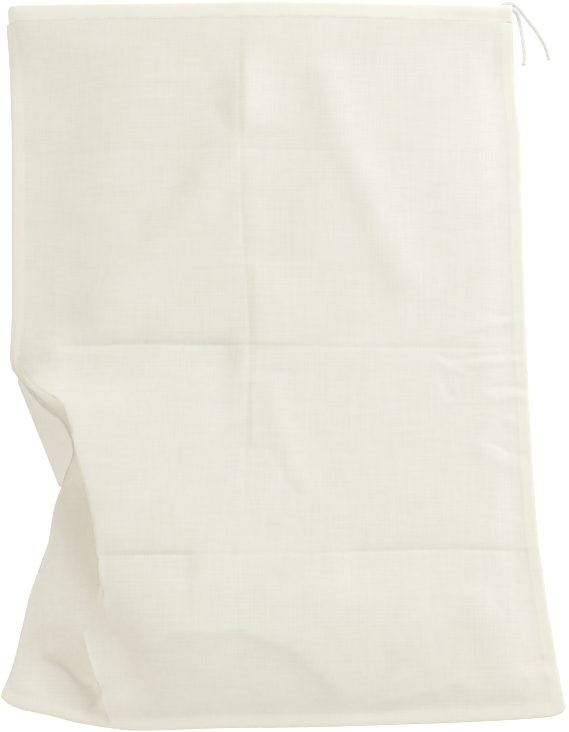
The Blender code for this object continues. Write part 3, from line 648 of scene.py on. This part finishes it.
BACK_SPANS = (10, 10, 4, 40, 44, 6)
BACK_STATIONS = stations_in([((1, count),) for count in BACK_SPANS])
back_mesh = cloth_grid("back_panel_cloth", back_line, BACK_STATIONS, FRONT_ROWS)
back_shape = (len(FRONT_ROWS), len(BACK_STATIONS), 3)
back_grid = points_of(back_mesh).reshape(back_shape)
back_swell = undulation(back_grid.reshape(-1, 3) + (0.3, 0.2, 0.0)).reshape(back_shape[:2])
back_grid[:, :, 2] += np.where(back_grid[:, :, 2] < 0.0008, 0.0001 + np.abs(back_swell) * 0.25, 0)
for j in range(len(FRONT_ROWS)):
    lifted = eased((front_grid[j, 0, 2] - 0.0025) / 0.004)
    under_left = np.array((-0.0004 * lifted, 0.0, -0.0007 + 0.0005 * lifted))
    pull_left = front_grid[j, 0] + under_left - back_grid[j, 0]
    pull_right = front_grid[j, -1] + (0.0, 0.0, -0.0007) - back_grid[j, -1]
    for i in range(BACK_SPANS[0] + 1):
        back_grid[j, i] += pull_left * (1 - i / (BACK_SPANS[0] + 1))
    for i in range(BACK_SPANS[-1]):
        back_grid[j, -1 - i] += pull_right * (1 - i / BACK_SPANS[-1])
back_grid[0, :, 2] = CLOTH * 0.9
back_grid[:, :, 2] = np.maximum(back_grid[:, :, 2], CLOTH / 2 + 0.00005)
set_points(back_mesh, back_grid.reshape(-1, 3))
back_left, back_right, back_bottom = seam_distances(back_grid)
back_left = np.where(back_left < HIDDEN_BAND, back_left + HIDDEN_BAND * (1 - shown_band), back_left)
back_seams = np.minimum(np.minimum(back_left, back_right), back_bottom).ravel()
back_turned_in = 1 - eased((back_seams - SEAM_ALLOWANCE) / 0.0012)
mark_turned_in(back_mesh, back_turned_in)
back_panel = add_piece("back_panel_cloth", back_mesh, panel_muslin)
thicken(back_panel, CLOTH)
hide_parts("back_panel")


# The seams are plain ones, sewn inside out: a strip of both panels is turned in along each, and shows
# through the front as a warmer, stiffer band.
def turned_strip(name, node, lines):
    """A strip of cloth just under the front panel, through lines of points from its seam inwards."""
    lines = np.array(lines)
    strip = bmesh.new()
    bmesh.ops.create_grid(strip, x_segments=lines.shape[1] - 1, y_segments=len(lines) - 1, size=1)
    for vert, point in zip(in_rows(strip), lines.reshape(-1, 3)):
        ravel = noise.noise(Vector(point) * 210) * 0.00012
        vert.co = Vector(point) + Vector((ravel, ravel, 0.0))
    bmesh.ops.recalc_face_normals(strip, faces=strip.faces)
    mesh = finished_mesh(name, strip)
    mark_turned_in(mesh, [1.0] * len(mesh.vertices))
    made = add_piece(name, mesh, panel_muslin)
    thicken(made, 0.0005)
    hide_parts(node)


def inner_grid(grid, depth):
    """The cloth's grid moved inwards, by a depth along its normals."""
    normals = np.cross(np.gradient(grid, axis=1), np.gradient(grid, axis=0))
    normals /= np.linalg.norm(normals, axis=2)[:, :, None]
    return grid - normals * depth


def line_from_edge(points, distances, at):
    return [[np.interp(d, distances, points[:, axis]) for axis in range(3)] for d in at]


TURNING_PLACES = (0.0014, 0.0032, 0.0050, 0.0066, SEAM_ALLOWANCE)
inner = inner_grid(front_grid, CLOTH * 0.95)
side_rows = range(8, len(FRONT_ROWS) - 1)
left_lines = [line_from_edge(inner[j], to_left[j], TURNING_PLACES) for j in side_rows]
right_lines = [line_from_edge(inner[j, ::-1], to_right[j, ::-1], TURNING_PLACES) for j in side_rows]
bottom_columns = range(10, len(FRONT_STATIONS) - 8)
bottom_lines = [line_from_edge(inner[:, i], to_bottom[:, i], TURNING_PLACES) for i in bottom_columns]
turned_strip("left_seam_turning", "left_seam_allowance", left_lines)
turned_strip("right_seam_turning", "right_seam_allowance", right_lines)
turned_strip("bottom_seam_turning", "bottom_seam_allowance", bottom_lines)


# The edge where the two panels turn in over their seam runs down both sides and along the bottom. It
# is the same muslin, pulled tight over the stitches, so it is round and a little uneven.
SEAM_FOLD_RADIUS = 0.00058
FOLD_INWARD = 0.00035
FOLD_DOWN = 0.00025


def rod(name, path, sides, shape, finish):
    """A closed rod along a path. shape gives its radius and how much painted shade darkens its grooves,
    from the length so far, the length still to come and the angle round the rod.
    """
    path = np.array(path)
    runs = np.gradient(path, axis=0)
    runs /= np.linalg.norm(runs, axis=1)[:, None]
    lengths = np.concatenate(([0], np.cumsum(np.linalg.norm(np.diff(path, axis=0), axis=1))))
    tube = bmesh.new()
    laid = tube.loops.layers.uv.new("laid")
    painted_groove_shade_layer = tube.verts.layers.float.new("painted_groove_shade")
    turned_layer = tube.verts.layers.float.new("turned_in")
    bmesh.ops.create_grid(tube, x_segments=sides, y_segments=len(path) - 1, size=1)
    order = in_rows(tube)
    places = {}
    for j in range(len(path)):
        run = Vector(runs[j])
        side = run.cross(Vector((0, 0, 1))).normalized()
        up = side.cross(run).normalized()
        for i in range(sides + 1):
            angle = 2 * math.pi * (i % sides) / sides
            radius, painted_groove_shade = shape(lengths[j], lengths[-1] - lengths[j], angle)
            vert = order[j * (sides + 1) + i]
            vert.co = Vector(path[j]) + (side * math.cos(angle) + up * math.sin(angle)) * radius
            vert[painted_groove_shade_layer] = painted_groove_shade
            vert[turned_layer] = 1.0
            places[vert] = (i / sides, lengths[j] * 1000)
    for face in tube.faces:
        for loop in face.loops:
            loop[laid].uv = places[loop.vert]
    bmesh.ops.remove_doubles(tube, verts=tube.verts, dist=1e-7)
    rims = [edge for edge in tube.edges if edge.is_boundary]
    bmesh.ops.holes_fill(tube, edges=rims, sides=0)
    bmesh.ops.recalc_face_normals(tube, faces=tube.faces)
    return add_piece(name, finished_mesh(name, tube), finish)


def seam_fold_shape(length, rest, angle):
    return SEAM_FOLD_RADIUS + 0.00006 * math.sin(length * 900) * math.sin(length * 370), 0.0


left_fold = front_grid[::-1, 0] + (FOLD_INWARD, 0.0, -FOLD_DOWN)
bottom_fold = front_grid[0, 1:-1] + (0.0, FOLD_INWARD, -FOLD_DOWN)
right_fold = front_grid[:, -1] + (-FOLD_INWARD, 0.0, -FOLD_DOWN)
fold_path = np.concatenate((left_fold, bottom_fold, right_fold))
seam_fold = rod("seam_fold", fold_path, 8, seam_fold_shape, panel_muslin)


# The casing is the top of each panel folded in over itself and stitched down in one line, which leaves
# a sleeve for the cord. At the left side seam the two casings meet, and on the right both are open.
MOUTH_LEFT = MOUTH_SECTION["seam"] * WIDTH
MOUTH_RIGHT = RIGHT_LINE[1][-1] * WIDTH
BACK_LAST = MOUTH_RIGHT - 0.012
TURN_X = MOUTH_LEFT + CASING_RADIUS + TURN_RADIUS
TURN_Z = CASING_RADIUS + TURN_RADIUS
FOLD_RADIUS = CASING_RADIUS - CLOTH / 2
mouth_line = front_line(1.0)
mouth_points = np.array([mouth_line(station) for station in np.linspace(4, 8, 161)])


def front_casing_height(x):
    return float(np.interp(x, mouth_points[:, 0], mouth_points[:, 1]))


def back_casing_height(x):
    return CASING_RADIUS


def side_turn(start, end, steps):
    found = []
    for angle in np.radians(np.linspace(start, end, steps + 1)):
        found.append((TURN_X + TURN_RADIUS * math.cos(angle), TURN_Z + TURN_RADIUS * math.sin(angle)))
    return found


def casing_path(last, height, turn_end, steps):
    run = np.linspace(TURN_X + TURN_RADIUS / 2, last, steps)
    turn = side_turn(180, turn_end, 10)
    return np.array(turn + [(x, height(x)) for x in run])


def sleeve_profile(droop):
    """The casing's cross-section, from its edge under the cord, round the fold, to its stitched edge."""
    found = [(CASING_DEPTH, -0.00045 - droop), (0.0098, -0.00050 - droop), (0.0088, -0.00085 - droop * 0.8)]
    found += [(0.0065, -0.0015 - droop * 0.5), (0.0045, -FOLD_RADIUS * 0.93 - droop * 0.1)]
    for step in range(13):
        angle = math.radians(270 - 15 * step)
        found.append((CASING_RADIUS + FOLD_RADIUS * math.cos(angle), FOLD_RADIUS * math.sin(angle)))
    found += [(0.0042, 0.00244), (0.0060, 0.00236), (0.0074, 0.00226), (0.0084, 0.00217), (0.0090, 0.00209)]
    found += [(0.0095, 0.00204), (0.0101, 0.00198), (0.0105, 0.00191), (0.0109, 0.00170), (0.0112, 0.00135)]
    return found


def casing_cloth(name, path, leans, top_of_panel=None):
    """A casing's sleeve as one strip of cloth that follows its path, a little gathered at the stitches."""
    level = sleeve_profile(0.0)
    low = sleeve_profile((CASING_RADIUS - 0.00115) * leans)
    sheet = bmesh.new()
    bmesh.ops.create_grid(sheet, x_segments=len(path) - 1, y_segments=len(level) - 1, size=1)
    order = sorted(sheet.verts, key=lambda vert: (round(vert.co.x, 6), round(vert.co.y, 6)))
    runs = np.gradient(path, axis=0)
    runs[0] = (0, 1 if path[1][1] > path[0][1] else -1)
    for j, ((x, z), run) in enumerate(zip(path, runs)):
        normal = np.array((-run[1], run[0])) / np.hypot(*run)
        lean = abs(normal[1])
        for i in range(len(level)):
            depth, height = level[i]
            height = height + (low[i][1] - height) * lean if leans else height
            if top_of_panel is not None and i > len(level) / 2:
                meet = float(np.interp(x + BAG_X, top_of_panel[:, 0], top_of_panel[:, 2]))
                height += (meet - z - MOUTH_LIFT) * lean * eased((depth - 0.0040) / 0.0058)
            near_stitches = eased((depth - 0.004) / 0.005)
            gather = 0.00014 * noise.noise(Vector((x * 190, depth * 120, 7.0 * leans))) * near_stitches
            swell = 0.00018 * noise.noise(Vector((x * 45, depth * 60, 3.0 + leans)))
            height += gather + swell * (1 - near_stitches)
            off = normal * height
            order[j * len(level) + i].co = (
                x + off[0] + BAG_X, LENGTH - depth + BAG_Y, max(z + off[1], CLOTH / 2 + 0.0001)
            )
    if leans:
        bmesh.ops.reverse_faces(sheet, faces=sheet.faces)
    mesh = finished_mesh(name, sheet)
    mark_turned_in(mesh, [2.0] * len(mesh.vertices))
    made = add_piece(name, mesh, panel_muslin)
    thicken(made, CLOTH)
    return made


front_path = casing_path(MOUTH_RIGHT, front_casing_height, 90, 230)
back_path = casing_path(BACK_LAST, back_casing_height, 270, 210)
front_casing = casing_cloth("front_casing_sleeve", front_path, 0, front_grid[-1])
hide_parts("front_casing")
back_casing = casing_cloth("back_casing_sleeve", back_path, 1)
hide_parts("back_casing")


# The casing is closed by one row of stitches, 2.3 mm long and 2.8 mm apart, that sink into the cloth.
# They are undyed polyester thread, with a fine twist each 0.35 mm that is painted as diagonal bands
# of a darker and a lighter tone: painted shade between the plies.
STITCH_PITCH = 0.0028
STITCH_HALF = (0.00115, 0.0002, 0.00018)
STITCH_DEPTH = 0.0097
STITCH_LEVEL = 0.00036


def thread_finish():
    made = bpy.data.materials.new("twisted_sewing_thread")
    made.use_nodes = True
    nodes = made.node_tree
    shader = nodes.nodes["Principled BSDF"]
    place = add(nodes, "ShaderNodeTexCoord").outputs["Object"]
    twist = add(
        nodes, "ShaderNodeTexWave", {"wave_type": "BANDS", "bands_direction": "DIAGONAL"},
        {"Vector": place, "Scale": 900.0, "Distortion": 0.5},
    )
    # Painted shade: the thread's tone alternates darker and lighter in diagonal bands along its plies.
    colour = add(
        nodes, "ShaderNodeMix", {"data_type": "RGBA"},
        {"Factor": twist.outputs["Fac"], "A": linear("#E4E0D0"), "B": linear("#F3F1E6")},
    )
    nodes.links.new(colour.outputs["Result"], shader.inputs["Base Color"])
    shader.inputs["Roughness"].default_value = 0.6
    return made


stitch_row = bmesh.new()
stitch_x = TURN_X + 0.004
while stitch_x < MOUTH_RIGHT - 0.004:
    panel_z = float(np.interp(stitch_x + BAG_X, front_grid[-1, :, 0], front_grid[-1, :, 2]))
    stitch_place = (stitch_x + BAG_X, LENGTH - STITCH_DEPTH + BAG_Y, panel_z + STITCH_LEVEL)
    stitch = bmesh.ops.create_uvsphere(stitch_row, u_segments=6, v_segments=5, radius=1)["verts"]
    bmesh.ops.rotate(stitch_row, verts=stitch, cent=(0, 0, 0), matrix=Matrix.Rotation(math.pi / 2, 3, "Y"))
    bmesh.ops.scale(stitch_row, verts=stitch, vec=STITCH_HALF)
    bmesh.ops.translate(stitch_row, verts=stitch, vec=stitch_place)
    stitch_x += STITCH_PITCH
stitches_mesh = finished_mesh("front_casing_stitches", stitch_row)
stitches = add_piece("front_casing_stitches", stitches_mesh, thread_finish())


# The drawcord is one length of bleached cotton, three strands laid together, with a turn each 13 mm. It
# runs round inside the two casings, and its cut ends come out at the right corner and lie on the table.
CORD_DIAMETER = 0.003
CORD_RADIUS = CORD_DIAMETER / 2
CORD_Y = LENGTH - CASING_RADIUS
CORD_INSET = 0.001
LAY_LENGTH = 0.013
BACK_END_ROUTE = (
    (0.0018, 0.0000, 0.0000), (0.0044, 0.0014, 0.0010), (0.0066, 0.0034, 0.0024), (0.0092, 0.0049, 0.0034),
    (0.0122, 0.0052, 0.0036), (0.0160, 0.0036, 0.0024), (0.0193, 0.0010, 0.0008),
    (0.0222, -0.0022, -0.0006), (0.0250, -0.0058, -0.0012), (0.0277, -0.0096, -0.0013),
    (0.0302, -0.0136, -0.0013), (0.0325, -0.0178, -0.0013), (0.0342, -0.0220, -0.0013),
    (0.0353, -0.0262, -0.0013), (0.0359, -0.0295, -0.0013),
)
FRONT_END_ROUTE = (
    (0.0018, 0.0000, 0.0000), (0.0034, -0.0008, -0.0010), (0.0048, -0.0027, -0.0026),
    (0.0058, -0.0050, -0.0043), (0.0066, -0.0077, -0.0058), (0.0073, -0.0107, -0.0068),
    (0.0079, -0.0141, -0.0070), (0.0083, -0.0178, -0.0071), (0.0087, -0.0216, -0.0071),
    (0.0089, -0.0254, -0.0071), (0.0088, -0.0290, -0.0071), (0.0084, -0.0330, -0.0071),
)


def even_route(points, step):
    """Points a step apart on a smooth curve through a route."""
    points = np.array(points)
    curve = smooth_line(points, np.zeros(len(points)))
    fine = np.array([curve(station) for station in np.linspace(0, len(points) - 1, 40 * len(points))])
    lengths = np.concatenate(([0], np.cumsum(np.linalg.norm(np.diff(fine, axis=0), axis=1))))
    places = np.linspace(0, lengths[-1], max(4, round(lengths[-1] / step)) + 1)
    return np.column_stack([np.interp(places, lengths, fine[:, axis]) for axis in range(3)]), lengths[-1]


def free_route(last, height, offsets):
    start = np.array((last - CORD_INSET + 0.0003, CORD_Y, height))
    return [start] + [start + np.array(offset) for offset in offsets]


def cotton_cord_finish():
    made = bpy.data.materials.new("bleached_laid_cotton")
    made.use_nodes = True
    nodes = made.node_tree
    shader = nodes.nodes["Principled BSDF"]
    along = add(nodes, "ShaderNodeUVMap", {"uv_map": "laid"})
    stretch = add(
        nodes, "ShaderNodeMapping", inputs={"Vector": along.outputs["UV"], "Scale": (60.0, 2.5, 1.0)},
    )
    fibres = add(
        nodes, "ShaderNodeTexNoise",
        inputs={"Vector": stretch.outputs["Vector"], "Scale": 1.0, "Detail": 4.0, "Roughness": 0.65},
    )
    painted_groove_shade = add(nodes, "ShaderNodeAttribute", {"attribute_name": "painted_groove_shade"})
    tone = add(
        nodes, "ShaderNodeMix", {"data_type": "RGBA"},
        {"Factor": fibres.outputs["Fac"], "A": linear("#E7E8EA"), "B": linear("#F5F6F8")},
    )
    # Painted shade: where the strands meet, the cord's tone is darkened towards grey in their grooves.
    shaded = add(
        nodes, "ShaderNodeMix", {"data_type": "RGBA"},
        {"Factor": painted_groove_shade.outputs["Fac"], "A": tone.outputs["Result"], "B": linear("#CBCCCE")},
    )
    nodes.links.new(shaded.outputs["Result"], shader.inputs["Base Color"])
    bump = add(
        nodes, "ShaderNodeBump",
        inputs={"Height": fibres.outputs["Fac"], "Strength": 0.5, "Distance": 0.0002},
    )
    nodes.links.new(bump.outputs["Normal"], shader.inputs["Normal"])
    shader.inputs["Roughness"].default_value = 0.85
    shader.inputs["Sheen Weight"].default_value = 0.15
    return made


cotton_cord = cotton_cord_finish()


def cut_cord_shape(length, from_cut, angle):
    """Three soft strands that turn once in each lay length, and flare a little at the cut. Between
    the strands their grooves get painted shade.
    """
    lobe = abs(math.cos(1.5 * (angle - 2 * math.pi * length / LAY_LENGTH)))
    flare = 1 + 0.08 * math.exp(-from_cut / 0.0012) - 0.08 * math.exp(-from_cut / 0.012)
    return CORD_RADIUS * flare * (0.93 + 0.09 * lobe), max(0.0, 1 - lobe * 2.6) * 0.5


# Like the cut ends, with painted shade in the grooves between the strands.
def inner_cord_shape(length, from_cut, angle):
    lobe = abs(math.cos(1.5 * (angle - 2 * math.pi * length / LAY_LENGTH)))
    return CORD_RADIUS * (0.87 + 0.12 * lobe), max(0.0, 1 - lobe * 2.6) * 0.5


for end_name, last, height, offsets in (
    ("cord_end_front", MOUTH_RIGHT, FRONT_CASING_RIGHT, FRONT_END_ROUTE),
    ("cord_end_back", BACK_LAST, CASING_RADIUS, BACK_END_ROUTE),
):
    route, cord_length = even_route(free_route(last, height, offsets), 0.0004)
    route = route + (BAG_X, BAG_Y, 0.0)
    free_end = rod(end_name + "_laid", route, 24, cut_cord_shape, cotton_cord)
    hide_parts(end_name)

inner_front = np.linspace(MOUTH_RIGHT - CORD_INSET, TURN_X + TURN_RADIUS / 2, 26)
inner_back = np.linspace(TURN_X + TURN_RADIUS / 2, BACK_LAST - CORD_INSET, 26)
inner_points = [(x, CORD_Y, front_casing_height(x)) for x in inner_front]
inner_points += [(x, CORD_Y, z) for x, z in side_turn(90, 270, 10)]
inner_points += [(x, CORD_Y, CASING_RADIUS) for x in inner_back]
inner_route, inner_length = even_route(inner_points, 0.0012)
inner_cord = rod("drawcord_laid", inner_route + (BAG_X, BAG_Y, 0.0), 12, inner_cord_shape, cotton_cord)
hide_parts("drawcord")


# The table is a plain white board in a soft warm room. A big window lights it from the upper right, and
# a weak lamp fills in from the lower left.
def table_top():
    board = bmesh.new()
    bmesh.ops.create_grid(board, x_segments=1, y_segments=1, size=3)
    mesh = finished_mesh("table_top", board)
    made = bpy.data.objects.new("table_top", mesh)
    bpy.context.scene.collection.objects.link(made)
    finish = bpy.data.materials.new("white_board")
    finish.use_nodes = True
    shader = finish.node_tree.nodes["Principled BSDF"]
    shader.inputs["Base Color"].default_value = linear("#FFFFFF")
    shader.inputs["Roughness"].default_value = 0.9
    shader.inputs["Specular IOR Level"].default_value = 0.0
    shader.inputs["Emission Color"].default_value = linear("#FFFFFF")
    shader.inputs["Emission Strength"].default_value = 0.45
    mesh.materials.append(finish)


table_top()

scene = bpy.context.scene
scene.view_settings.view_transform = "Standard"
scene.view_settings.look = "None"
world = bpy.data.worlds.new("soft_room")
world.use_nodes = True
world.node_tree.nodes["Background"].inputs["Color"].default_value = linear("#FFF8E9")
world.node_tree.nodes["Background"].inputs["Strength"].default_value = 0.66
scene.world = world


def lamp(name, place, aim, size, power, tint):
    light = bpy.data.lights.new(name, "AREA")
    light.shape = "SQUARE"
    light.size = size
    light.energy = power
    light.color = tint
    made = bpy.data.objects.new(name, light)
    made.location = place
    made.rotation_euler = (Vector(aim) - Vector(place)).to_track_quat("-Z", "Y").to_euler()
    scene.collection.objects.link(made)


lamp("window", (1.05, 0.86, 1.1), (0.0, 0.0, 0.0), 1.1, 13.6, (0.90, 0.975, 1.10))
lamp("fill", (-0.6, -0.9, 1.4), (0.0, 0.0, 0.0), 1.2, 2.6, (1.0, 0.98, 0.93))

# The camera stands where the photograph's did, and its lens gives the photograph's frame.
lens = bpy.data.cameras.new("camera")
lens.sensor_fit = "VERTICAL"
lens.sensor_height = 36
lens.lens = PHOTO_FOCAL * lens.sensor_height / PHOTO_HEIGHT
camera = bpy.data.objects.new("camera", lens)
target = Vector((*PHOTO_AIM, 0.0))
camera.location = target + Vector(EYE_OFFSET)
camera.rotation_euler = (target - camera.location).to_track_quat("-Z", "Y").to_euler()
scene.collection.objects.link(camera)
scene.camera = camera
